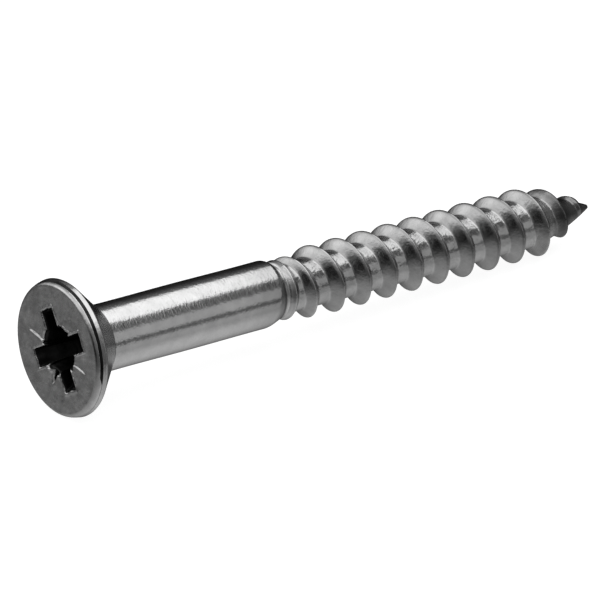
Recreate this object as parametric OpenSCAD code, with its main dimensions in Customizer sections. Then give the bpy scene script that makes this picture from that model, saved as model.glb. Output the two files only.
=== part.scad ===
/* [Overall] */
// Length over everything, from the flat of the head to the tip
screw_l = 44.6; // [40:0.1:60]
// Length of the head and the plain shank together, up to the neck where the thread begins
plain_l = 17.65; // [12:0.05:20]

/* [Head] */
// Diameter over the rim of the countersunk head
head_d = 9.2; // [8.8:0.1:10]
// Depth at which the rim ends and the countersink cone begins
rim_depth = 0.75; // [0.5:0.05:1]
// Depth of the softened edge between the flat of the head and the rim
edge_depth = 0.15; // [0.1:0.05:0.3]
// Full angle of the countersink cone, in degrees
countersink_angle = 90; // [80:1:100]

/* [Shank] */
// Diameter of the plain shank
shank_d = 4.46; // [4.2:0.02:4.7]
// Length over which the end of the shank rounds down to the neck
shoulder_l = 1.2; // [0.8:0.1:2]

/* [Thread] */
// Diameter over the thread
thread_d = 4.9; // [4.7:0.05:5.2]
// Diameter of the core at the bottom of the thread
core_d = 3.4; // [3.1:0.05:3.7]
// Distance from one turn to the next
pitch = 2.2; // [2:0.05:2.4]
// Width of the land on top of the ridge
crest_w = 0.14; // [0.1:0.02:0.4]
// Width of each sloping side of a full ridge
flank_w = 0.56; // [0.35:0.01:0.65]
// Place of the ridge about the axis at the neck, in degrees from +Y towards +Z
ridge_turn = 243; // [0:1:359]

/* [Point] */
// Length over which the core draws in to the tip
point_l = 5.8; // [4:0.1:8]
// Diameter of the blunt end of the point
tip_d = 0.3; // [0.1:0.05:0.6]

/* [Drive recess] */
// Distance across a pair of wings at the mouth
wing_span = 5.4; // [4.8:0.1:5.8]
// Width of a wing at the mouth
wing_w = 1.15; // [0.9:0.05:1.3]
// Depth from the flat of the head to the floor of the wings
recess_depth = 2.5; // [2:0.1:2.7]
// Distance across a pair of the small square ribs between the wings, at the mouth
rib_span = 3.3; // [2.9:0.1:3.5]
// Distance across a pair of the marking grooves that run out from the ribs
groove_span = 5.8; // [4.6:0.1:6.8]
// Turn of the wings about the axis, in degrees from +Y towards +Z
recess_turn = 62; // [0:1:89]

/* [Hidden] */

// The screw lies along +X: the middle of the flat of the head is the origin, the tip is at +X.
round_facets = 96;
head_r = head_d / 2;
shank_r = shank_d / 2;
thread_r = thread_d / 2;
core_r = core_d / 2;
tip_r = tip_d / 2;
point_start = screw_l - point_l;

// The rim leans out from the softened edge, and the cone then runs in to the shank
rim_lean = 0.14;
rim_front_r = head_r - rim_lean;
edge_w = 0.26;
edge_arc_r = (edge_w * edge_w + edge_depth * edge_depth) / (2 * edge_depth);
edge_arc_angle = asin(edge_w / edge_arc_r);
arc_steps = 6;
head_l = rim_depth + (head_r - shank_r) / tan(countersink_angle / 2);

// The shank ends in a smooth curve down to the neck, and a second curve falls from there to the core
neck_drop = 0.3;
neck_r = shank_r - neck_drop;
shoulder_start = plain_l - shoulder_l;
root_fall_l = 0.9;

// Recess: shares of the mouth sizes that are left at the floor
wing_floor_share = 0.5;
rib_floor_share = 0.6;
width_floor_share = 0.8;
rib_w = 1.0;
bore_d = 2.6;
bore_floor_share = 0.7;
floor_cone_l = 0.35;
groove_w = 0.2;
groove_depth = 0.14;
// Cutters start this far in front of the flat of the head
cutter_lead = 0.3;

// The ridge starts a little before the neck and rises to its full height in about two turns
turn_steps = 36;
lead_in_share = 0.15;
ridge_start = plain_l - lead_in_share * pitch;
ridge_end = screw_l - 0.7;
run_in_l = 3.6;
run_in_share = 0.3;
// From here to the tip the top of the ridge falls evenly, a little steeper than the core
run_out_start = screw_l - 4.9;
run_out_slope = 0.42;
run_out_drop = 0.05;
least_ridge_h = 0.05;
// The foot of the ridge is sunk this far into the core, so that no gap opens under its facets
ridge_sink = 0.02;
ridge_steps = floor((ridge_end - ridge_start) * turn_steps / pitch);

// How far x has come along a length from start, from 0 to 1
function share(x, start, length) = min(max((x - start) / length, 0), 1);

// A share from 0 to 1, given a soft start and a soft end
function eased(t) = t * t * (3 - 2 * t);

// The core keeps its radius to the start of the point, and then draws in faster and faster
function point_radius(x) =
    tip_r + (core_r - tip_r) * (1 - pow(share(x, point_start, point_l), 1.6));

function root_radius(x) =
    x < plain_l + root_fall_l
    ? core_r + (neck_r - core_r) * (1 - eased(share(x, plain_l, root_fall_l)))
    : point_radius(x);

function body_radius(x) =
    x < plain_l
    ? shank_r - neck_drop * eased(share(x, shoulder_start, shoulder_l))
    : root_radius(x);

// Radius over the top of the ridge at a distance x from the flat of the head
function ridge_radius(x) =
    let (rise = run_in_share + (1 - run_in_share) * eased(share(x, ridge_start, run_in_l)))
    let (full = core_r + (thread_r - core_r) * rise)
    let (fall = run_out_drop * share(x, run_out_start, pitch)
        + run_out_slope * max(0, x - run_out_start - pitch / 2))
    max(body_radius(x) + least_ridge_h, full - fall);

// Section of the ridge at x, as [distance, radius], from its head side to its tip side
function ridge_section(x) =
    let (foot = body_radius(x) - ridge_sink)
    let (top = ridge_radius(x))
    let (side = flank_w * (top - foot) / (thread_r - core_r))
    [
        [x - crest_w / 2 - side, foot],
        [x - crest_w / 2, top],
        [x + crest_w / 2, top],
        [x + crest_w / 2 + side, foot]
    ];

function ridge_points() = [
    for (i = [0 : ridge_steps])
        let (angle = ridge_turn + (i / turn_steps - lead_in_share) * 360)
        for (p = ridge_section(ridge_start + i * pitch / turn_steps))
            [p[0], p[1] * cos(angle), p[1] * sin(angle)]
];

function ridge_faces() = [
    [0, 1, 2],
    [0, 2, 3],
    for (i = [0 : ridge_steps - 1])
        for (j = [0 : 3])
            let (a = 4 * i + j)
            let (b = 4 * i + (j + 1) % 4)
            for (triangle = [[a, a + 4, b + 4], [a, b + 4, b]])
                triangle,
    [4 * ridge_steps, 4 * ridge_steps + 2, 4 * ridge_steps + 1],
    [4 * ridge_steps, 4 * ridge_steps + 3, 4 * ridge_steps + 2]
];

// Turns an outline of [radius, distance] points about the X axis
module turned(outline) {
    rotate([0, 90, 0])
        rotate_extrude($fn = round_facets)
            polygon(outline);
}

// A slot through the axis that narrows evenly both ways from the mouth to the floor
module tapered_slot(span, width, floor_span, floor_width) {
    intersection() {
        translate([0, 0, -width])
            linear_extrude(2 * width)
                polygon([[-cutter_lead, -span / 2], [0, -span / 2], [recess_depth, -floor_span / 2],
                         [recess_depth, floor_span / 2], [0, span / 2], [-cutter_lead, span / 2]]);
        rotate([90, 0, 0])
            translate([0, 0, -span])
                linear_extrude(2 * span)
                    polygon([[-cutter_lead, -width / 2], [0, -width / 2],
                             [recess_depth, -floor_width / 2], [recess_depth, floor_width / 2],
                             [0, width / 2], [-cutter_lead, width / 2]]);
    }
}

module marking_groove() {
    rotate([90, 0, 0])
        translate([0, 0, -groove_span / 2])
            linear_extrude(groove_span)
                polygon([[-cutter_lead, -groove_w / 2], [0, -groove_w / 2], [groove_depth, 0],
                         [0, groove_w / 2], [-cutter_lead, groove_w / 2]]);
}

module drive_recess() {
    bore_floor_d = bore_d * bore_floor_share;
    rotate([recess_turn, 0, 0]) {
        for (side = [0, 90])
            rotate([side, 0, 0])
                tapered_slot(wing_span, wing_w, wing_span * wing_floor_share,
                             wing_w * width_floor_share);
        for (side = [45, 135])
            rotate([side, 0, 0]) {
                tapered_slot(rib_span, rib_w, rib_span * rib_floor_share,
                             rib_w * width_floor_share);
                marking_groove();
            }
    }
    turned([[0, -cutter_lead], [bore_d / 2, -cutter_lead], [bore_d / 2, 0],
            [bore_floor_d / 2, recess_depth], [0, recess_depth + floor_cone_l]]);
}

module head() {
    edge = [
        for (i = [0 : arc_steps])
            let (t = edge_arc_angle * i / arc_steps)
            [rim_front_r - edge_w + edge_arc_r * sin(t), edge_arc_r * (1 - cos(t))]
    ];
    color("gray")
        difference() {
            turned(concat([[0, 0]], edge, [[head_r, rim_depth], [shank_r, head_l], [0, head_l]]));
            drive_recess();
        }
}

module shank() {
    shoulder = [
        for (i = [0 : arc_steps])
            let (x = shoulder_start + shoulder_l * i / arc_steps)
            [body_radius(x - 0.0001), x]
    ];
    color("silver")
        turned(concat([[0, head_l], [shank_r, head_l]], shoulder, [[0, plain_l]]));
}

module thread_core() {
    fall = [
        for (i = [0 : arc_steps])
            let (x = plain_l + root_fall_l * i / arc_steps)
            [root_radius(x), x]
    ];
    color("darkgray")
        turned(concat([[0, plain_l]], fall, [[core_r, point_start], [0, point_start]]));
}

module thread_ridge() {
    color("silver")
        polyhedron(ridge_points(), ridge_faces());
}

module point() {
    taper = [
        for (i = [0 : 2 * arc_steps])
            let (x = point_start + point_l * i / (2 * arc_steps))
            [root_radius(x), x]
    ];
    color("dimgray")
        turned(concat([[0, point_start]], taper, [[0, screw_l]]));
}

head();
shank();
thread_core();
thread_ridge();
point();
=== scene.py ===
"""A countersunk wood screw of bright steel, lying on a plain pale floor in soft studio light."""
import math

import bmesh
import bpy
import numpy as np
from mathutils import Matrix, Vector


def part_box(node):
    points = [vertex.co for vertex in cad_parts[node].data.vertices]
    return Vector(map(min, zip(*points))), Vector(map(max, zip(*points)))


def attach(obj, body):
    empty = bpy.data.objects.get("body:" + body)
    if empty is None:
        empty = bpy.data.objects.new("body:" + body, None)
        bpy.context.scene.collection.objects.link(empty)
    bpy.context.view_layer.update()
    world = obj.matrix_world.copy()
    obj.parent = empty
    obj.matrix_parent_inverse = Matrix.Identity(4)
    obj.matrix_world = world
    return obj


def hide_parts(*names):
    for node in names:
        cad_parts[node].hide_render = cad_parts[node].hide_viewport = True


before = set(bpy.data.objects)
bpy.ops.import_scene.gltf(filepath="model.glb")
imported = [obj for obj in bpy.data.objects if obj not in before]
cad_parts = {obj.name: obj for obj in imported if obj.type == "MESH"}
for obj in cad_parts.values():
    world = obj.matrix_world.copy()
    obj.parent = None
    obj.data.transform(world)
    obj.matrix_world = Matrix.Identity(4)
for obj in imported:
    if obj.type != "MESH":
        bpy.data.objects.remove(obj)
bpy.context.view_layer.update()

# ---------------------------------------------------------------------------
# Sizes, in millimetres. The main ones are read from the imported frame.
# ---------------------------------------------------------------------------
MM = 0.001
BODY = "root"


def node_box(node):
    """Lowest and highest corners of a CAD node, in millimetres."""
    low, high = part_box(node)
    return np.array(low) / MM, np.array(high) / MM


head_low, head_high = node_box("head")
HEAD_R = (head_high[1] - head_low[1]) / 2
HEAD_L = head_high[0]
SHANK_R = node_box("shank")[1][1]
PLAIN_L = node_box("shank")[1][0]
THREAD_R = 2.45
CORE_R = 1.7
POINT_START = node_box("point")[0][0]
SCREW_L = node_box("point")[1][0]

# Head: a flat with a rounded edge, a shallow rolled groove, a rim that leans out, and a 90 degree cone
FACE_R = 4.2
RIM_DEPTH = 0.75
# The rim in section, as (depth, radius). Its groove has a wall and a floor, and the step from the floor
# up to the land is the far wall. At the bottom there is no groove, only a rounded edge.
GROOVE = ((0.25, 4.47), (0.28, 4.33), (0.34, 4.33))
PLAIN_EDGE = ((0.41, 4.538), (0.413, 4.5386), (0.417, 4.5394), (0.42, 4.54))
# The round between the flat and the rim turns through this angle
EDGE_TURN = math.radians(75)
LAND_START = (0.46, 4.548)
LAND_END = (0.71, 4.6)
CONE_START = (0.82, 4.54)
# The cone ends this far inside the shank
CONE_SINK = 0.02
# The groove runs over the top between these directions, in degrees from +Y towards +Z, and fades out
# over the next GROOVE_FADE degrees
GROOVE_ENDS = (-18, 187)
GROOVE_FADE = 9
# It has about this share of its full width: a little less every quarter turn from GROOVE_NARROWEST
GROOVE_SHARE = 0.6
GROOVE_SHARE_SWING = 0.17
GROOVE_SHARE_RIPPLE = 0.08
GROOVE_NARROWEST = math.radians(120)
GROOVE_WANDER = 0.008

# Drive recess: four wings, four small square ribs and four marking grooves
RECESS_TURN = math.radians(62)
WING_REACH = 2.7
WING_HALF_W = 0.58
RIB_REACH = 1.62
RIB_HALF_W = 0.52
MIDDLE_R = 1.25
RECESS_DEPTH = 2.45
FLOOR_CONE_L = 0.35
FLOOR_CURVE = 1.5
# The first ring of the floor is this share of its outline
FIRST_RING = 0.04
RECESS_MIDDLE = (-0.27, 0.08)
# The mouth is rounded over and thrown up a little all round
LIP_R = 0.17
LIP_RISE = 0.05
LIP_W = 0.12
# So many rings of the lip have the finish of the face; the rest carry the painted shade of the recess
LIP_RINGS_ON_FACE = 5
# Powers: the rings of the face crowd towards the lip, and its marks even out towards its edge
FACE_SPREAD = 1.25
FACE_EVENING = 6
CORNER_SOFTNESS = 0.03
# Height of a long and of a short wave in the outline of the mouth
MOUTH_WAVE = 0.02
MOUTH_RIPPLE = 0.01
# Shares of the mouth sizes that are left at the floor
REACH_LEFT = 0.5
RIB_REACH_LEFT = 0.6
WIDTH_LEFT = 0.8
MIDDLE_LEFT = 0.7
# A marking groove starts at this distance from the axis, and its ends run out over these lengths
GROOVE_START = 1.2
GROOVE_START_L = 0.3
GROOVE_END_L = 0.35
# A direction nearly parallel to an edge of a bar never meets it, and gets this radius
FAR = 30
NEARLY_PARALLEL = 0.001

# Thread: right-handed, with its crest at RIDGE_TURN about the axis where the plain length ends
PITCH = 2.2
RIDGE_TURN = math.radians(243)
CREST_W = 0.14
HEAD_FLANK_W = 0.55
TIP_FLANK_W = 0.6
# Softness of the corners: at the crest on the head side and the tip side, and at the root
HEAD_CREST_SOFTNESS = 0.055
TIP_CREST_SOFTNESS = 0.015
ROOT_SOFTNESS = 0.04
# The flank on the head side grows wider and the crest grows a land as the ridge runs out
LAST_FLANK_GROWTH = 0.25
LAST_FLANK_START = POINT_START + 0.5
LAST_FLANK_L = 2
LAST_LAND_W = 0.55
LAST_LAND_START = SCREW_L - 2.2
LAST_LAND_L = 1.2
# Height of each wave in the uneven bottom of the thread
RIPPLE_H = 0.003
# It is at its full height where the flanks would lie this far below the core, if they went on. It comes
# in past the neck and fades out along the point.
RIPPLE_DEPTH = 0.25
RIPPLE_IN_L = 1.5
RIPPLE_OUT_L = 3
# Core: it grows a little from the neck to the point, and then draws in faster and faster
CORE_SWELL = 0.035
POINT_CURVE = 1.6
TIP_R = 0.15
# Crest: lower near the neck, rising out of the neck, and falling along the point
CREST_LOW = 0.07
CREST_LOW_L = 17
RUN_IN_SHARE = 0.3
RUN_IN_START = PLAIN_L - 0.33
RUN_IN_L = 3.6
START_DROP = 0.4
START_DROP_L = 0.35
RUN_OUT_START = SCREW_L - 4.75
RUN_OUT_SLOPE = 0.43
RUN_OUT_SOFTNESS = 0.15
TIP_FADE = 0.8
TIP_FADE_L = 1.3

# Neck: the shank rounds down to it, a crease marks it, and a low ring stands just after it
NECK_DROP = 0.36
SHOULDER_L = 1.2
SHOULDER_SKEW = 0.45
CREASE_W = 0.05
CREASE_DEPTH = 0.06
NECK_RING_L = 0.35
NECK_RING_H = 0.16
ROOT_FALL_L = 0.5
# The shank swells and thins by this much in waves along its length. They come in past the head and
# cross its true radius at SHANK_SWELL_AT.
SHANK_SWELL = 0.01
SHANK_SWELL_L = 1.6
SHANK_SWELL_AT = 7.4
SHANK_SWELL_IN_L = 1.5

# Mesh: points round the screw, and the distance between rings
COLUMNS = 240
HEAD_COLUMNS = 480
THREAD_STEP = 0.05
POINT_STEP = 0.04
# Numbers of rings, both ends counted: on the floor, wall and lip of the recess, on the face, on its
# edge, and at a rounded corner
FLOOR_RINGS = 12
WALL_RINGS = 20
LIP_RINGS = 9
FACE_RINGS = 40
EDGE_RINGS = 14
CORNER_RINGS = 7
# The shank's rings: close together by the head and along the last stretch, farther apart between
SHANK_START_L = 0.4
SHANK_START_RINGS = 12
SHANK_MIDDLE_RINGS = 50
SHANK_END_L = 2
SHANK_END_RINGS = 48


# ---------------------------------------------------------------------------
# Mesh helpers
# ---------------------------------------------------------------------------
def surface_of_rings(name, rings, finishes):
    """One closed, smooth mesh through rings of points, in millimetres, that run along the screw.

    rings has the shape (rings, columns, 3), and each end is closed with a fan to its middle.
    finishes lists (number of rings, material) from the first ring on. Both fans have the last one.
    """
    count, columns = rings.shape[:2]
    corner = np.arange(columns)
    after = (corner + 1) % columns
    row = (np.arange(count - 1) * columns)[:, None]
    quads = np.stack([row + corner, row + after, row + columns + after, row + columns + corner], -1)
    first, last = count * columns, count * columns + 1
    end = (count - 1) * columns
    faces = quads.reshape(-1, 4).tolist()
    faces += np.stack([after, corner, np.full(columns, first)], -1).tolist()
    faces += np.stack([end + corner, end + after, np.full(columns, last)], -1).tolist()
    middles = np.array([rings[0].mean(axis=0), rings[-1].mean(axis=0)])
    points = np.concatenate([rings.reshape(-1, 3), middles]) * MM
    mesh = bpy.data.meshes.new(name)
    mesh.from_pydata(points.tolist(), [], faces)
    mesh.update()
    mesh.shade_smooth()
    sharp_ends(mesh, columns, end)
    done = 0
    indices = np.full(len(faces), len(finishes) - 1)
    for index, (number, material) in enumerate(finishes):
        mesh.materials.append(material)
        indices[done * columns:(done + number) * columns] = index
        done += number
    mesh.polygons.foreach_set("material_index", indices.tolist())
    piece = bpy.data.objects.new(name, mesh)
    bpy.context.scene.collection.objects.link(piece)
    return piece


def sharp_ends(mesh, columns, end):
    """Makes the edges of the first and last ring sharp, so that the ends don't shade the sides."""
    corners = np.zeros(len(mesh.edges) * 2, int)
    mesh.edges.foreach_get("vertices", corners)
    low, high = np.sort(corners.reshape(-1, 2), axis=1).T
    sharp = (high < columns) | ((low >= end) & (high < end + columns))
    mesh.attributes.new("sharp_edge", "BOOLEAN", "EDGE").data.foreach_set("value", sharp.tolist())


def turn_angles(columns):
    """Evenly spaced directions about the axis, from +Y towards +Z."""
    return np.arange(columns) * (2 * math.pi / columns)


def ring_points(distance, radius, angles):
    """Points at a distance along the axis and a radius from it; each may differ from angle to angle."""
    x = np.broadcast_to(distance, np.broadcast(distance, radius, angles).shape)
    return np.stack([x, radius * np.cos(angles), radius * np.sin(angles)], -1)


def smooth_step(t):
    """A share from 0 to 1, given a soft start and a soft end."""
    t = np.clip(t, 0, 1)
    return t * t * (3 - 2 * t)


def share(x, start, length):
    """How far x has come along a length from start, from 0 to 1."""
    return np.clip((x - start) / length, 0, 1)


def soft_max(a, b, width):
    """The greater of a and b, blended over about this width where they cross."""
    return width * np.logaddexp(a / width, b / width)


def soft_min(a, b, width):
    """The lesser of a and b, blended over about this width where they cross."""
    return -soft_max(-a, -b, width)


# ---------------------------------------------------------------------------
# Shank, thread and point
# ---------------------------------------------------------------------------
def neck_crease(x):
    """Depth of the fine line that rolling leaves where the neck begins."""
    return CREASE_DEPTH * np.exp(-((x - PLAIN_L) / CREASE_W) ** 2)


def core_radius(x):
    """Radius of the body under the thread: the neck, the core, and the drawn-in point."""
    grown = CORE_R + CORE_SWELL * (2 * share(x, PLAIN_L, POINT_START - PLAIN_L) - 1)
    drawn_in = share(x, POINT_START, SCREW_L - POINT_START) ** POINT_CURVE
    point = TIP_R + (grown - TIP_R) * (1 - drawn_in)
    neck = SHANK_R - NECK_DROP + NECK_RING_H * share(x, PLAIN_L, NECK_RING_L)
    fall = smooth_step(share(x, PLAIN_L + NECK_RING_L, ROOT_FALL_L))
    return point + (neck - point) * (1 - fall) - neck_crease(x)


def crest_radius(x):
    """Radius over the ridge: it rises out of the neck and falls evenly along the point."""
    full = THREAD_R - CREST_LOW * (1 - share(x, PLAIN_L, CREST_LOW_L))
    risen = RUN_IN_SHARE + (1 - RUN_IN_SHARE) * smooth_step(share(x, RUN_IN_START, RUN_IN_L))
    start_drop = START_DROP * (1 - smooth_step(share(x, PLAIN_L, START_DROP_L)))
    rising = CORE_R + (full - CORE_R) * risen - start_drop
    fading = TIP_FADE * smooth_step(share(x, SCREW_L - TIP_FADE_L, TIP_FADE_L))
    return rising - RUN_OUT_SLOPE * soft_max(x - RUN_OUT_START, 0 * x, RUN_OUT_SOFTNESS) - fading


def thread_radius(x, angles):
    """Radius of the threaded surface at each distance and angle."""
    turns = (x - PLAIN_L) / PITCH - (angles - RIDGE_TURN) / (2 * math.pi)
    from_crest = (turns - np.round(turns)) * PITCH
    height = THREAD_R - CORE_R
    land = LAST_LAND_W * smooth_step(share(x, LAST_LAND_START, LAST_LAND_L))
    growth = LAST_FLANK_GROWTH * smooth_step(share(x, LAST_FLANK_START, LAST_FLANK_L))
    before_crest = soft_max(-from_crest - CREST_W / 2, 0 * from_crest, HEAD_CREST_SOFTNESS)
    after_crest = soft_max(from_crest - CREST_W / 2 - land, 0 * from_crest, TIP_CREST_SOFTNESS)
    head_side = before_crest * height / (HEAD_FLANK_W + growth)
    tip_side = after_crest * height / TIP_FLANK_W
    ridge = crest_radius(x) - head_side - tip_side
    core = core_radius(x)
    root = smooth_step((core - ridge) / RIPPLE_DEPTH) * smooth_step(share(x, PLAIN_L, RIPPLE_IN_L))
    ripple = root_ripple(from_crest, (np.floor(turns) + 0.5) * 2 * math.pi + angles)
    rippled = ripple * root * (1 - share(x, POINT_START, RIPPLE_OUT_L))
    return soft_max(core, ridge, ROOT_SOFTNESS) + rippled


def root_ripple(from_crest, along):
    """Waves in the bottom of the thread that slant and come and go.

    from_crest is in millimetres, and along grows by a full circle with each turn of the thread.
    """
    slant = along + 0.1 * np.sin(6 * from_crest + 5 * along)
    strength = 0.55 + 0.45 * np.sin(2.3 * along + 6 * from_crest)
    waves = (np.sin(33.6 * slant + 1.8 * np.sin(5.1 * along)) + np.sin(17.3 * slant + 1.7)
             + np.sin(41 * slant + 14 * from_crest + 2 * np.sin(7 * along)))
    return RIPPLE_H * strength * waves


def make_shank(material):
    """The plain shank. Its shoulder is longer underneath than on top, as rolling left it."""
    angles = turn_angles(COLUMNS)
    middle_start, middle_end = HEAD_L + SHANK_START_L, PLAIN_L - SHANK_END_L
    first = np.linspace(HEAD_L, middle_start, SHANK_START_RINGS)
    middle = np.linspace(middle_start, middle_end, SHANK_MIDDLE_RINGS)[1:]
    last = np.linspace(middle_end, PLAIN_L, SHANK_END_RINGS)[1:]
    x = np.concatenate([first, middle, last])[:, None]
    shoulder_l = SHOULDER_L - SHOULDER_SKEW * np.sin(angles)
    drop = NECK_DROP * smooth_step(share(x, PLAIN_L - shoulder_l, shoulder_l))
    waves = np.sin((x - SHANK_SWELL_AT) / SHANK_SWELL_L)
    swell = SHANK_SWELL * waves * smooth_step(share(x, HEAD_L, SHANK_SWELL_IN_L))
    radius = SHANK_R + swell - drop - neck_crease(x)
    rings = ring_points(x, radius, angles)
    return surface_of_rings("plain_shank", rings, [(len(rings), material)])


def make_thread(name, start, end, step, material):
    """A stretch of the threaded surface, with its core and its ridge in one."""
    x = np.linspace(start, end, int(round((end - start) / step)) + 1)[:, None]
    angles = turn_angles(COLUMNS)
    rings = ring_points(x, thread_radius(x, angles), angles)
    return surface_of_rings(name, rings, [(len(rings), material)])


# ---------------------------------------------------------------------------
# Head
# ---------------------------------------------------------------------------
def bar_edge(angles, turn, reach, half_width):
    """Distance from the axis to the edge of a bar through it, in each direction."""
    lengthwise = np.maximum(np.abs(np.cos(angles - turn)), NEARLY_PARALLEL)
    across = np.maximum(np.abs(np.sin(angles - turn)), NEARLY_PARALLEL)
    end = np.minimum(reach / lengthwise, FAR)
    side = np.minimum(half_width / across, FAR)
    return soft_min(end, side, CORNER_SOFTNESS)


def narrowed(sunk, floor_share):
    """Share of a size that is left when sunk has come from 0 at the mouth to 1 at the floor."""
    return 1 - (1 - floor_share) * sunk


def recess_edge(angles, depth, spread):
    """Outline of the recess at a depth, pushed outwards by spread."""
    sunk = share(depth, 0, RECESS_DEPTH)
    wing_reach = WING_REACH * narrowed(sunk, REACH_LEFT) + spread
    wing_half = WING_HALF_W * narrowed(sunk, WIDTH_LEFT) + spread
    rib_reach = RIB_REACH * narrowed(sunk, RIB_REACH_LEFT) + spread
    rib_half = RIB_HALF_W * narrowed(sunk, WIDTH_LEFT) + spread
    middle = MIDDLE_R * narrowed(sunk, MIDDLE_LEFT) + spread
    edge = np.broadcast_to(middle, np.broadcast(middle, angles).shape)
    for quarter in (0, 1):
        turn = RECESS_TURN + quarter * math.pi / 2
        wing = bar_edge(angles, turn, wing_reach, wing_half)
        rib = bar_edge(angles, turn + math.pi / 4, rib_reach, rib_half)
        edge = soft_max(edge, wing, CORNER_SOFTNESS)
        edge = soft_max(edge, rib, CORNER_SOFTNESS)
    uneven = MOUTH_WAVE * np.sin(17 * angles + 2) + MOUTH_RIPPLE * np.sin(29 * angles + 1.3)
    return edge + uneven * (1 - sunk) ** 4


# Each marking groove: direction in degrees from +Y towards +Z, distance that it passes from the axis,
# reach, depth, half width and how much it narrows. The last one is a torn notch.
GROOVES = ((107, 0, 2.7, 0.04, 0.12, 0), (192, 0, 3.35, 0.1, 0.12, 0.3), (12, 0, 3.15, 0.12, 0.14, 0.4),
           (287, 0.28, 2.5, 0.6, 0.5, 0.9))
# Waves in the flat of the head: height, radians per millimetre across and up, and phase
FACE_WAVES = ((0.004, 2.1, 0.8, 0), (0.003, 1.3, -3.1, 1))
# Dents in the flat of the head, and burrs, which stand up: across, up, radius and depth
DENTS = ((-2.9, -2.7, 0.13, 0.04), (0.4, -3.55, 0.22, 0.03), (-1.5, 2.5, 0.14, 0.07),
         (-1.0, 2.3, 0.12, 0.05), (2.2, 2.1, 0.2, 0.015), (-3.4, 0.6, 0.15, 0.02),
         (0.65, -1.45, 0.18, -0.18), (1.0, -1.35, 0.15, -0.12), (1.45, -1.15, 0.12, -0.08),
         (-0.6, -1.6, 0.16, -0.16), (-0.7, -1.95, 0.14, -0.1), (-1.0, -2.6, 0.14, -0.08),
         (1.7, 0.42, 0.13, -0.08))


def face_depth(across, up):
    """How far the marked and slightly uneven flat of the head lies below a true plane."""
    depth = 0
    for height, across_rate, up_rate, phase in FACE_WAVES:
        depth = depth + height * np.sin(across_rate * across + up_rate * up + phase)
    for direction, aside, reach, deep, half_width, narrowing in GROOVES:
        turn = math.radians(direction)
        out = across * math.cos(turn) + up * math.sin(turn)
        off = across * math.sin(turn) - up * math.cos(turn) - aside
        half = half_width * (1 - narrowing * share(out, GROOVE_START, reach - GROOVE_START))
        section = np.clip(1 - np.abs(off) / half, 0, 1)
        run_in = smooth_step((out - GROOVE_START) / GROOVE_START_L)
        run_out = smooth_step((reach - out) / GROOVE_END_L)
        depth = depth + deep * section * run_in * run_out
    for dent_across, dent_up, radius, deep in DENTS:
        away = (across - dent_across) ** 2 + (up - dent_up) ** 2
        depth = depth + deep * np.exp(-away / radius ** 2)
    return depth


def rounded_path(corners, cut, spacing):
    """Points along a path of straight lines whose corners are rounded off, cut from each corner."""
    corners = [np.array(corner, float) for corner in corners]
    path = [corners[0]]
    for before, corner, after in zip(corners, corners[1:], corners[2:]):
        start = corner + (before - corner) * cut / np.linalg.norm(before - corner)
        end = corner + (after - corner) * cut / np.linalg.norm(after - corner)
        straight = int(np.linalg.norm(start - path[-1]) / spacing) + 2
        path += [path[-1] + (start - path[-1]) * t for t in np.linspace(0, 1, straight)[1:]]
        curve = np.linspace(0, 1, CORNER_RINGS)[1:]
        path += [(1 - t) ** 2 * start + 2 * t * (1 - t) * corner + t ** 2 * end for t in curve]
    straight = int(np.linalg.norm(corners[-1] - path[-1]) / spacing) + 2
    path += [path[-1] + (corners[-1] - path[-1]) * t for t in np.linspace(0, 1, straight)[1:]]
    return np.array(path)


def recess_ring(distance, radius, angles, centring=0.0):
    """A ring about the middle of the recess, which is a little off the axis; centring moves it back."""
    ring = ring_points(distance, radius, angles)
    return ring + np.array([0, *RECESS_MIDDLE]) * (1 - centring)


def groove_share(angles):
    """1 where the rim is grooved, and 0 at the bottom, where it is not."""
    start, end = map(math.radians, GROOVE_ENDS)
    middle = (start + end) / 2
    off = np.abs((angles - middle + math.pi) % (2 * math.pi) - math.pi)
    return smooth_step(1 - (off - (end - start) / 2) / math.radians(GROOVE_FADE))


def groove_width(angles):
    """Share of the full width that the groove has, in each direction: its edge is uneven."""
    swing = GROOVE_SHARE_SWING * np.cos(4 * (angles - GROOVE_NARROWEST))
    return GROOVE_SHARE - swing + GROOVE_SHARE_RIPPLE * np.sin(47 * angles + 2 * np.sin(5 * angles))


def edge_point(t, end):
    """A point, t from 0 to 1, on the round that leads from the flat of the head to end."""
    turn = t * EDGE_TURN
    depth = end[0] * (1 - math.cos(turn)) / (1 - math.cos(EDGE_TURN))
    return depth, FACE_R + (end[1] - FACE_R) * math.sin(turn) / math.sin(EDGE_TURN)


def mixed_ring(deep, plain, grooved, angles):
    """A ring that lies at the point deep where grooved is 1, and at the point plain where it is 0."""
    distance = plain[0] + (deep[0] - plain[0]) * grooved
    return ring_points(distance, plain[1] + (deep[1] - plain[1]) * grooved, angles)


def recess_rings(angles):
    """Rings from the middle of the recess floor out, up its walls and over the rounded lip."""
    rings = []
    floor_edge = recess_edge(angles, RECESS_DEPTH, 0)
    for t in np.linspace(FIRST_RING, 1, FLOOR_RINGS)[:-1]:
        deep = RECESS_DEPTH + FLOOR_CONE_L * (1 - t) ** FLOOR_CURVE
        rings.append(recess_ring(deep, floor_edge * t, angles))
    for depth in np.linspace(RECESS_DEPTH, LIP_R, WALL_RINGS):
        rings.append(recess_ring(depth, recess_edge(angles, depth, 0), angles))
    for t in np.linspace(0, math.pi / 2, LIP_RINGS)[1:]:
        spread = LIP_R * (1 - math.cos(t))
        depth = LIP_R * (1 - math.sin(t)) - LIP_RISE * math.sin(t) ** 2
        ring = recess_ring(depth, recess_edge(angles, 0, spread), angles)
        ring[:, 0] += face_depth(ring[:, 1], ring[:, 2]) * math.sin(t)
        rings.append(ring)
    return rings


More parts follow.
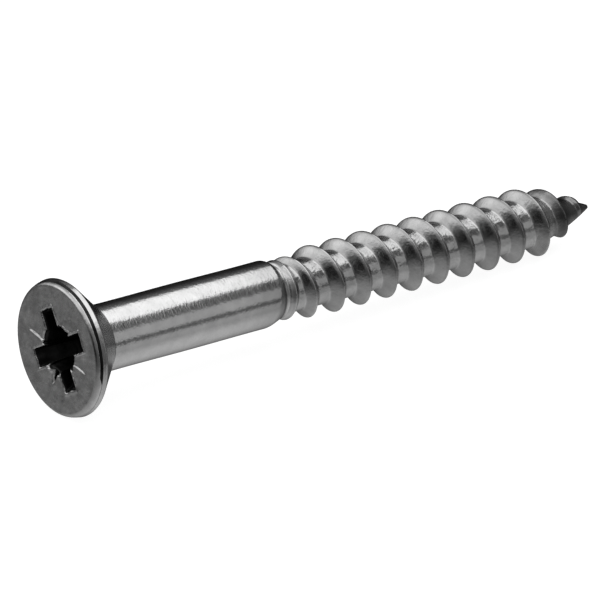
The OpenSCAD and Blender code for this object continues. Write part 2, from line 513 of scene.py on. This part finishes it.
def face_rings(angles):
    """Rings from the lip of the recess out to the round edge of the flat."""
    rings = []
    lip_edge = recess_edge(angles, 0, LIP_R)
    for t in np.linspace(0, 1, FACE_RINGS)[1:]:
        radius = lip_edge + (FACE_R - lip_edge) * t ** FACE_SPREAD
        ring = recess_ring(0, radius, angles, t)
        depth = face_depth(ring[:, 1], ring[:, 2]) * (1 - t ** FACE_EVENING)
        lip = LIP_RISE * np.exp(-((radius - lip_edge) / LIP_W) ** 2)
        ring[:, 0] = depth - lip
        rings.append(ring)
    return rings


def groove_rings(angles, grooved):
    """Rings over the wall and the floor of the groove in the rim. Its width and place wander a little."""
    rings = []
    start = GROOVE[0][0]
    wander = GROOVE_WANDER * np.sin(23 * angles + 1) + GROOVE_WANDER * np.sin(57 * angles)
    groove = rounded_path(GROOVE, cut=0.02, spacing=0.0202)
    plain_edge = rounded_path(PLAIN_EDGE, cut=0.0004, spacing=0.0202)
    for deep, plain in zip(groove, plain_edge, strict=True):
        distance = start + (deep[0] - start) * groove_width(angles) + wander
        rings.append(mixed_ring((distance, deep[1]), plain, grooved, angles))
    return rings


def make_head(recess_shade_finish, face_finish, groove_shade_finish, side_finish):
    """The head in one closed surface, from the floor of the recess over the rim to the shank."""
    angles = turn_angles(HEAD_COLUMNS)
    grooved = groove_share(angles)
    recess = recess_rings(angles)
    face = face_rings(angles)
    edge = [mixed_ring(edge_point(t, GROOVE[0]), edge_point(t, PLAIN_EDGE[0]), grooved, angles)
            for t in np.linspace(0, 1, EDGE_RINGS)[1:-1]]
    groove = groove_rings(angles, grooved)
    side_corners = [PLAIN_EDGE[-1], LAND_START, LAND_END, CONE_START, (HEAD_L, SHANK_R - CONE_SINK)]
    side_path = rounded_path(side_corners, cut=0.025, spacing=0.07)
    side = [ring_points(distance, radius, angles) for distance, radius in side_path[1:]]
    finishes = [(len(recess) - LIP_RINGS_ON_FACE, recess_shade_finish),
                (len(face) + LIP_RINGS_ON_FACE, face_finish),
                (len(edge), side_finish), (len(groove), groove_shade_finish), (len(side), side_finish)]
    return surface_of_rings("countersunk_head", np.array(recess + face + edge + groove + side), finishes)


# ---------------------------------------------------------------------------
# Materials
# ---------------------------------------------------------------------------
NOISE_DETAIL = 3.0
# Noise mostly stays between these values
NOISE_LOW = 0.3
NOISE_HIGH = 0.7
# Sizes, in millimetres, of the cloudy patches of lighter and of rougher steel
GREY_CLOUDS = 0.9
ROUGH_CLOUDS = 0.5
EVEN = (1, 1, 1)


def add_node(tree, kind, links=(), **values):
    """Adds a node. links lists (its input, a node's output); values are its settings and sockets."""
    node = tree.nodes.new(kind)
    for key, value in values.items():
        if hasattr(node, key):
            setattr(node, key, value)
        else:
            node.inputs[key.replace("_", " ").title()].default_value = value
    for socket, output in links:
        tree.links.new(output, node.inputs[socket])
    return node


def combine(tree, operation, *values):
    """One Math node; each value is a number or another node's output."""
    node = add_node(tree, "ShaderNodeMath", operation=operation)
    for socket, value in zip(node.inputs, values):
        if isinstance(value, float):
            socket.default_value = value
        else:
            tree.links.new(value, socket)
    return node.outputs[0]


def noise(tree, stretch, size):
    """Noise in millimetres: features of this size, divided by stretch along each axis."""
    place = tree.nodes["Place"].outputs["Object"]
    scale = tuple(1 / MM * along / size for along in stretch)
    mapped = add_node(tree, "ShaderNodeMapping", [("Vector", place)], Scale=scale)
    return add_node(tree, "ShaderNodeTexNoise", [("Vector", mapped.outputs["Vector"])],
                    Scale=1.0, Detail=NOISE_DETAIL).outputs["Fac"]


def between(tree, value, low, high, start=NOISE_LOW, end=NOISE_HIGH):
    """Maps a value from start..end to low..high."""
    node = add_node(tree, "ShaderNodeMapRange", [("Value", value)])
    for socket, number in (("From Min", start), ("From Max", end), ("To Min", low), ("To Max", high)):
        node.inputs[socket].default_value = number
    return node.outputs["Result"]


def from_axis(tree):
    """Distance from the axis of the screw, in millimetres."""
    place = tree.nodes["Place"].outputs["Object"]
    across = add_node(tree, "ShaderNodeVectorMath", [(0, place)], operation="MULTIPLY")
    across.inputs[1].default_value = (0, 1 / MM, 1 / MM)
    return add_node(tree, "ShaderNodeVectorMath", [(0, across.outputs["Vector"])],
                    operation="LENGTH").outputs["Value"]


def along_axis(tree):
    """Distance along the screw from the flat of its head, in millimetres."""
    place = tree.nodes["Place"].outputs["Object"]
    x = add_node(tree, "ShaderNodeSeparateXYZ", [("Vector", place)]).outputs["X"]
    return combine(tree, "MULTIPLY", x, 1 / MM)


def steel(name, grey, roughness, bumps, bands=()):
    """Worked steel. grey and roughness are (low, high); bumps lists (stretch, size mm, height mm).

    bands lists (measure, start, end, factor): on the way from start to end, in millimetres from the
    axis or along it, the grey comes to be multiplied by factor, and it stays so past the end.
    """
    material = bpy.data.materials.new(name)
    material.use_nodes = True
    tree = material.node_tree
    shader = tree.nodes["Principled BSDF"]
    shader.inputs["Metallic"].default_value = 1.0
    place = add_node(tree, "ShaderNodeTexCoord")
    place.name = "Place"
    colour = between(tree, noise(tree, EVEN, GREY_CLOUDS), *grey)
    for measure, start, end, factor in bands:
        band = between(tree, measure(tree), 1, factor, start, end)
        colour = combine(tree, "MULTIPLY", colour, band)
    tree.links.new(colour, shader.inputs["Base Color"])
    rough = between(tree, noise(tree, EVEN, ROUGH_CLOUDS), *roughness)
    tree.links.new(rough, shader.inputs["Roughness"])
    normal = None
    for stretch, size, height in bumps:
        bump = add_node(tree, "ShaderNodeBump", [("Height", noise(tree, stretch, size))])
        bump.inputs["Strength"].default_value = 1.0
        bump.inputs["Distance"].default_value = height * MM
        if normal:
            tree.links.new(normal, bump.inputs["Normal"])
        normal = bump.outputs["Normal"]
    tree.links.new(normal, shader.inputs["Normal"])
    return material


def pale_floor(glow, albedo):
    """A matt floor that is nearly as bright as white paper, so that only contact shadows show."""
    material = bpy.data.materials.new("pale_floor")
    material.use_nodes = True
    shader = material.node_tree.nodes["Principled BSDF"]
    shader.inputs["Base Color"].default_value = (albedo, albedo, albedo, 1)
    shader.inputs["Roughness"].default_value = 1.0
    shader.inputs["Specular IOR Level"].default_value = 0.0
    shader.inputs["Emission Color"].default_value = (1, 1, 1, 1)
    shader.inputs["Emission Strength"].default_value = glow
    return material


def glowing(name, strength):
    """A material that only gives light."""
    material = bpy.data.materials.new(name)
    material.use_nodes = True
    tree = material.node_tree
    tree.nodes.clear()
    emission = add_node(tree, "ShaderNodeEmission", Strength=strength)
    add_node(tree, "ShaderNodeOutputMaterial", [("Surface", emission.outputs["Emission"])])
    return material


# ---------------------------------------------------------------------------
# Studio
# ---------------------------------------------------------------------------
def add_card(name, corners, material):
    """A flat four-sided card for the studio, its corners in millimetres."""
    mesh = bpy.data.meshes.new(name)
    mesh.from_pydata([Vector(corner) * MM for corner in corners], [], [(0, 1, 2, 3)])
    mesh.materials.append(material)
    card = bpy.data.objects.new(name, mesh)
    bpy.context.scene.collection.objects.link(card)
    return card


def add_softbox(name, corners, strength):
    """A glowing card that lights the screw and shows in its reflections, but not to the camera."""
    card = add_card(name, corners, glowing(name, strength))
    card.visible_camera = False
    card.visible_shadow = False


# The screw rests on the rim of its head and on the last full turn of its thread, at these (x, z)
REST_HEAD = (RIM_DEPTH, -HEAD_R)
REST_THREAD = (POINT_START, -THREAD_R)
FLOOR_REACH = 1500
FLOOR_GLOW = 0.92
FLOOR_ALBEDO = 0.3

# Soft lights on all sides of the camera's view: name, strength and corners in millimetres
SOFTBOXES = (
    ("overhead_softbox", 1.45, ((-30, -500, 600), (540, -265, 600), (540, 375, 600), (-30, 215, 600))),
    ("left_softbox", 0.85, ((-650, -300, 600), (-30, -500, 600), (-30, 215, 600), (-650, 300, 600))),
    ("front_softbox", 0.46, ((350, -900, -50), (1100, -900, -50), (1100, -900, 540), (350, -900, 540))),
    ("front_table", 0.42, ((150, -600, -190), (780, -600, -190), (400, -250, -190), (60, -250, -190))))


def floor_height(x):
    """Height of the floor under a point of the axis: it touches the screw in both places."""
    slope = (REST_THREAD[1] - REST_HEAD[1]) / (REST_THREAD[0] - REST_HEAD[0])
    return REST_HEAD[1] + slope * (x - REST_HEAD[0])


def floor_corners(reach):
    """Corners of the floor, which reaches this far both ways along X and Y."""
    low, high = floor_height(-reach), floor_height(reach)
    return [(-reach, -reach, low), (reach, -reach, high), (reach, reach, high), (-reach, reach, low)]


# Light tent: soft patches of light (azimuth from +X, elevation, spread, strength), angles in degrees,
# and patches of shade, where only a share of the light is left
SKY_PATCHES = ((138, 28, 17, 0.95), (176, 40, 9, 0.6), (-158, 52, 14, 0.4), (112, 40, 14, 0.2),
               (105, 14, 12, 0.25), (-72, 52, 10, 1.2))
GROUND_PATCHES = ((-15, -62, 24, 0.25), (130, -20, 28, 0.06), (-55, -45, 17, 0.12))
SHADED_SIDES = ((52, 4, 28, 0.1), (-163, 3, 15, 0.05), (-41, 38, 8, 0.15))
# A side is at its darkest where its patch is stronger than this
DEEPEST_SHADE = 0.8
# The sky patches fade out between these heights on a unit sphere, just about the horizon
HORIZON = (-0.05, 0.25)
TENT_R = 3000
# Brightness of the tent by height, as (height on a unit sphere, strength)
TENT_LEVELS = ((-1.0, 0.36), (-0.8, 0.33), (-0.6, 0.25), (-0.4, 0.16), (-0.2, 0.09), (0.0, 0.09),
               (0.25, 0.15), (0.5, 0.2), (1.0, 0.4))


def patch(tree, direction, azimuth, elevation, spread):
    """A soft round patch: 1 towards this direction, falling off over the spread. Degrees."""
    azimuth, elevation, spread = map(math.radians, (azimuth, elevation, spread))
    towards = (math.cos(elevation) * math.cos(azimuth), math.cos(elevation) * math.sin(azimuth),
               math.sin(elevation))
    aligned = add_node(tree, "ShaderNodeVectorMath", [(0, direction)], operation="DOT_PRODUCT")
    aligned.inputs[1].default_value = towards
    scaled = add_node(tree, "ShaderNodeMath", [(0, aligned.outputs["Value"])], operation="MULTIPLY_ADD")
    scaled.inputs[1].default_value = 1 / spread ** 2
    scaled.inputs[2].default_value = -1 / spread ** 2
    return add_node(tree, "ShaderNodeMath", [(0, scaled.outputs[0])], operation="EXPONENT").outputs[0]


def with_patches(tree, direction, total, patches):
    """The total with the light of some patches added."""
    for azimuth, elevation, spread, strength in patches:
        light = combine(tree, "MULTIPLY", patch(tree, direction, azimuth, elevation, spread), strength)
        total = combine(tree, "ADD", total, light)
    return total


def make_tent():
    """A large sphere of white cloth round the screw, lit in soft patches. The camera doesn't see it."""
    material = glowing("tent_cloth", 1.0)
    tree = material.node_tree
    place = add_node(tree, "ShaderNodeTexCoord")
    direction = add_node(tree, "ShaderNodeVectorMath", [(0, place.outputs["Object"])],
                         operation="NORMALIZE").outputs["Vector"]
    height = add_node(tree, "ShaderNodeSeparateXYZ", [("Vector", direction)]).outputs["Z"]
    lowest = TENT_LEVELS[0][1]
    total = between(tree, height, lowest, lowest)
    for (start, low), (end, high) in zip(TENT_LEVELS, TENT_LEVELS[1:]):
        rise = between(tree, height, 0, high - low, start, end)
        total = combine(tree, "ADD", total, rise)
    total = with_patches(tree, direction, total, GROUND_PATCHES)
    for azimuth, elevation, spread, left in SHADED_SIDES:
        shade = between(tree, patch(tree, direction, azimuth, elevation, spread), 1, left, 0, DEEPEST_SHADE)
        total = combine(tree, "MULTIPLY", total, shade)
    sky = with_patches(tree, direction, 0.0, SKY_PATCHES)
    above = between(tree, height, 0, 1, *HORIZON)
    total = combine(tree, "ADD", total, combine(tree, "MULTIPLY", sky, above))
    tree.links.new(total, tree.nodes["Emission"].inputs["Strength"])
    mesh = bpy.data.meshes.new("light_tent")
    ball = bmesh.new()
    bmesh.ops.create_uvsphere(ball, u_segments=48, v_segments=24, radius=TENT_R * MM)
    ball.to_mesh(mesh)
    ball.free()
    mesh.materials.append(material)
    tent = bpy.data.objects.new("light_tent", mesh)
    bpy.context.scene.collection.objects.link(tent)
    tent.visible_camera = False
    tent.visible_shadow = False


def make_studio():
    """The floor, the softboxes, the tent, and a white world that only the camera sees."""
    floor = add_card("floor", floor_corners(FLOOR_REACH), pale_floor(FLOOR_GLOW, FLOOR_ALBEDO))
    floor.visible_glossy = False
    for name, strength, corners in SOFTBOXES:
        add_softbox(name, corners, strength)
    make_tent()
    world = bpy.data.worlds.new("studio")
    world.use_nodes = True
    background = world.node_tree.nodes["Background"]
    background.inputs["Color"].default_value = (1, 1, 1, 1)
    background.inputs["Strength"].default_value = 1.0
    world.cycles_visibility.glossy = False
    world.cycles_visibility.diffuse = False
    bpy.context.scene.world = world


# ---------------------------------------------------------------------------
# Camera
# ---------------------------------------------------------------------------
VIEW_AZIMUTH = math.radians(-37.85)
VIEW_ELEVATION = math.radians(20.56)
VIEW_DISTANCE = 415.9
VIEW_CENTRE = (22.3, 3.18, -2.63)
LENS = 373.5
SENSOR_W = 36
# The camera sees between these distances
NEAREST = 10
FARTHEST = 20000


def make_camera():
    """Looks at the centre of the view from in front of the head, a little above."""
    back = Vector((math.sin(VIEW_AZIMUTH) * math.cos(VIEW_ELEVATION),
                   -math.cos(VIEW_AZIMUTH) * math.cos(VIEW_ELEVATION), math.sin(VIEW_ELEVATION)))
    right = Vector((math.cos(VIEW_AZIMUTH), math.sin(VIEW_AZIMUTH), 0))
    up = back.cross(right)
    data = bpy.data.cameras.new("camera")
    data.lens = LENS
    data.sensor_width = SENSOR_W
    data.clip_start = NEAREST * MM
    data.clip_end = FARTHEST * MM
    camera = bpy.data.objects.new("camera", data)
    place = (Vector(VIEW_CENTRE) + back * VIEW_DISTANCE) * MM
    camera.matrix_world = Matrix.Translation(place) @ Matrix((right, up, back)).transposed().to_4x4()
    bpy.context.scene.collection.objects.link(camera)
    bpy.context.scene.camera = camera


# ---------------------------------------------------------------------------
# The screw, its studio and the camera
# ---------------------------------------------------------------------------
# The end of the shank darkens; round its shoulder painted shade darkens it more, and a painted highlight
# makes a bright ring at the neck
shank_steel = steel(
    "shank_steel", grey=(0.58, 0.66), roughness=(0.14, 0.19),
    bumps=[(EVEN, 1.6, 0.02), ((1.5, 1, 1), 0.35, 0.01), ((3, 1.5, 1.5), 0.3, 0.01)],
    bands=[(along_axis, PLAIN_L - 4.15, PLAIN_L - 0.85, 0.74),
           (along_axis, PLAIN_L - 0.75, PLAIN_L - 0.55, 0.42),
           (along_axis, PLAIN_L - 0.45, PLAIN_L - 0.33, 4.4)])
# Painted light and shade: the flanks are paler than the bottom of the thread, the crests are darker, and a
# painted highlight makes the very start at the neck paler
thread_steel = steel(
    "thread_steel", grey=(0.42, 0.54), roughness=(0.17, 0.24),
    bumps=[(EVEN, 0.6, 0.015), ((0.35, 1, 1), 0.3, 0.012), (EVEN, 0.2, 0.014)],
    bands=[(from_axis, CORE_R + 0.1, CORE_R + 0.4, 1.12),
           (from_axis, THREAD_R - 0.12, THREAD_R - 0.03, 0.62),
           (along_axis, PLAIN_L + 0.2, PLAIN_L + 0.05, 1.5)])
# Painted shade darkens the last turn, and the tip less so
point_steel = steel(
    "point_steel", grey=(0.34, 0.5), roughness=(0.2, 0.3),
    bumps=[(EVEN, 0.4, 0.04)],
    bands=[(along_axis, SCREW_L - 4.2, SCREW_L - 3.6, 0.33),
           (along_axis, SCREW_L - 2.7, SCREW_L - 2.2, 1.6)])
side_steel = steel(
    "side_steel", grey=(0.5, 0.64), roughness=(0.15, 0.24),
    bumps=[(EVEN, 0.5, 0.02), ((3, 1, 1), 0.3, 0.01)])
# Painted shade darkens the flat where it turns down into the recess and the torn notch
face_steel = steel(
    "face_steel", grey=(0.42, 0.7), roughness=(0.22, 0.34),
    bumps=[(EVEN, 1.2, 0.12), (EVEN, 0.4, 0.045), (EVEN, 0.12, 0.004)],
    bands=[(along_axis, 0.13, 0.25, 0.05)])
# Near-black painted shade over the groove in the rim
groove_painted_shade = steel(
    "groove_painted_shade", grey=(0.02, 0.06), roughness=(0.3, 0.4),
    bumps=[(EVEN, 0.2, 0.01)])
# Near-black painted shade over the floor, walls and lip of the recess
recess_painted_shade = steel(
    "recess_painted_shade", grey=(0.01, 0.04), roughness=(0.35, 0.5),
    bumps=[(EVEN, 0.3, 0.02)])

head = make_head(recess_painted_shade, face_steel, groove_painted_shade, side_steel)
shank = make_shank(shank_steel)
thread = make_thread("threaded_length", PLAIN_L, POINT_START, THREAD_STEP, thread_steel)
point = make_thread("gimlet_point", POINT_START, SCREW_L, POINT_STEP, point_steel)

# Each piece, its slot and the CAD nodes that it stands for
STANDS_FOR = ((head, "head_steel", ("head",)), (shank, "shank_steel", ("shank",)),
              (thread, "thread_steel", ("thread_core", "thread_ridge")), (point, "point_steel", ("point",)))
for piece, slot, nodes in STANDS_FOR:
    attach(piece, BODY)
    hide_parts(*nodes)

make_studio()
make_camera()
bpy.context.scene.view_settings.view_transform = "Standard"
